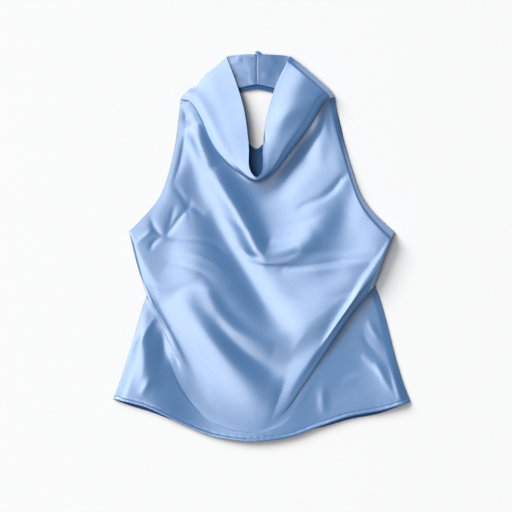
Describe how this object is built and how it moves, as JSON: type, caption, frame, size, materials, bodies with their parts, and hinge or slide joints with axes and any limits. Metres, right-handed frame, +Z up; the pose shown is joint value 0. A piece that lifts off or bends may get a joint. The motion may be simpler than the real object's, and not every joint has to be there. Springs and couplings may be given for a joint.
{
  "type": "satin halter top",
  "caption": "Sleeveless satin halter top with a draped funnel cowl, an open V at the back neck and a curved hem, laid flat on its back.",
  "frame": {"origin": "under the middle of the garment's bounding box, on the surface that it lies on", "axes": "+Z up, away from the surface; +Y from the hem to the neck; +X to the right as seen from above"},
  "size_m": [0.4465, 0.586, 0.0193],
  "materials": {
    "satin_face": "smooth satin with a soft directional sheen",
    "satin_reverse": "matt reverse of the same satin, seen in shade",
    "satin_facing": "turned satin strip, stitched down"
  },
  "bodies": {
    "root": {"front_panel": "satin_face", "back_panel": "satin_reverse", "back_neck_facing_left": "satin_facing", "back_neck_facing_right": "satin_facing", "collar_back_inner_left": "satin_face", "collar_back_inner_right": "satin_face", "collar_back_outer": "satin_reverse", "neck_button": "satin_face"}
  },
  "joints": []
}
